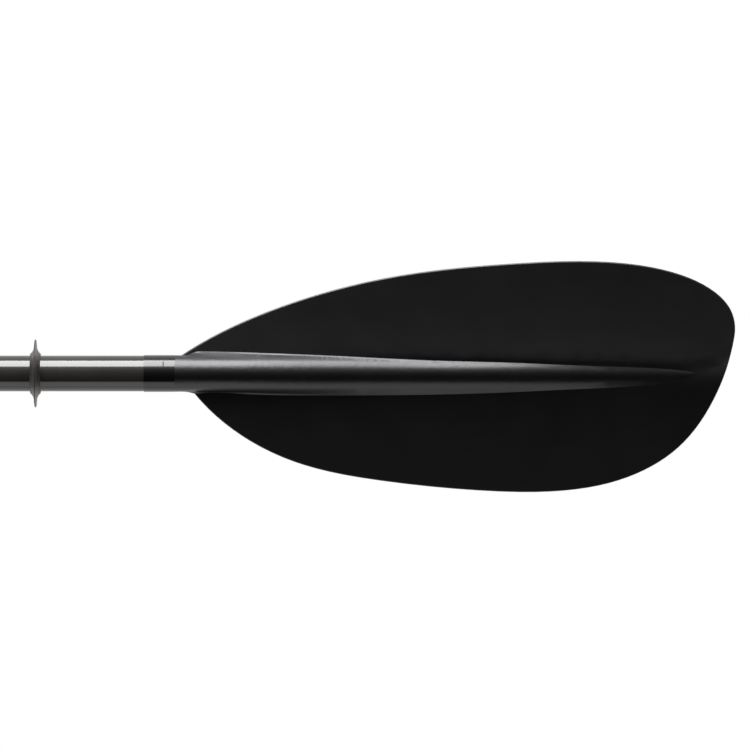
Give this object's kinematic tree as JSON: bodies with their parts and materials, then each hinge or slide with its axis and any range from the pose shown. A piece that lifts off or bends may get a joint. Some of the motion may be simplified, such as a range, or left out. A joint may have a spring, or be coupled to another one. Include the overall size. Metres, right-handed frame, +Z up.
{
  "type": "kayak paddle",
  "caption": "Two-piece double-bladed kayak paddle with ribbed asymmetric spoon blades, drip rings and a lever-clamped, feather-adjustable ferrule.",
  "frame": {"origin": "on the surface the paddle lies on, under the shaft's axis at mid-length", "axes": "+X along the shaft toward the right blade, +Y toward the blades' long upper edge, +Z up, the way the ribbed back faces look"},
  "size_m": [2.1, 0.1844, 0.0643],
  "materials": {
    "blade_plastic": "satin moulded glass-filled nylon, near black",
    "shaft_tube": "gloss gunmetal-grey anodised tube",
    "band_black": "thin gloss black sleeve",
    "foam": "closed-cell foam",
    "ferrule_tube": "anodised, with a length scale",
    "trim_plastic": "moulded nylon",
    "ring_plastic": "moulded nylon with angle ticks",
    "collar_plastic": "moulded glass-filled nylon",
    "lever_plastic": "moulded nylon",
    "drip_rubber": "soft moulded elastomer",
    "seal_rubber": "soft elastomer",
    "steel": "stainless steel"
  },
  "bodies": {
    "left_half": {"left_blade": "blade_plastic", "left_shaft": "shaft_tube", "left_neck_band": "band_black", "left_outer_plug": "foam", "left_inner_plug": "foam", "male_ferrule": "ferrule_tube", "ferrule_end_cap": "trim_plastic", "ferrule_rivets": "steel", "left_stop_ring": "trim_plastic"},
    "left_ring": {"left_drip_ring": "drip_rubber"},
    "feather_ring": {"index_ring": "ring_plastic"},
    "right_half": {"right_blade": "blade_plastic", "right_shaft": "shaft_tube", "right_neck_band": "band_black", "right_outer_plug": "foam", "right_inner_plug": "foam", "clamp_collar": "collar_plastic", "seal_ring": "seal_rubber", "cam_saddle": "steel", "lever_pin": "steel", "screw_washer": "steel"},
    "lever": {"clamp_lever": "lever_plastic"},
    "tension_screw": {"clamp_screw": "steel"},
    "right_ring": {"right_drip_ring": "drip_rubber"}
  },
  "joints": [
    {"name": "ferrule_slide", "type": "slide", "parent": "left_half", "child": "feather_ring", "axis": [1, 0, 0], "range_m": [0, 0.22]},
    {"name": "feather_twist", "type": "hinge", "parent": "feather_ring", "child": "right_half", "pos_m": [0, 0, 0.03726], "axis": [1, 0, 0], "range_deg": [-90, 90]},
    {"name": "lever_open", "type": "hinge", "parent": "right_half", "child": "lever", "pos_m": [0.016, -0.0225, 0.04976], "axis": [1, 0, 0], "range_deg": [0, 130]},
    {"name": "screw_turn", "type": "hinge", "parent": "right_half", "child": "tension_screw", "pos_m": [0.016, -0.0225, 0.03726], "axis": [0, 0, 1], "range_deg": [-180, 180]},
    {"name": "left_ring_slide", "type": "slide", "parent": "left_half", "child": "left_ring", "axis": [-1, 0, 0], "range_m": [-0.385, 0.08]},
    {"name": "right_ring_slide", "type": "slide", "parent": "right_half", "child": "right_ring", "axis": [1, 0, 0], "range_m": [-0.42, 0.08]}
  ]
}
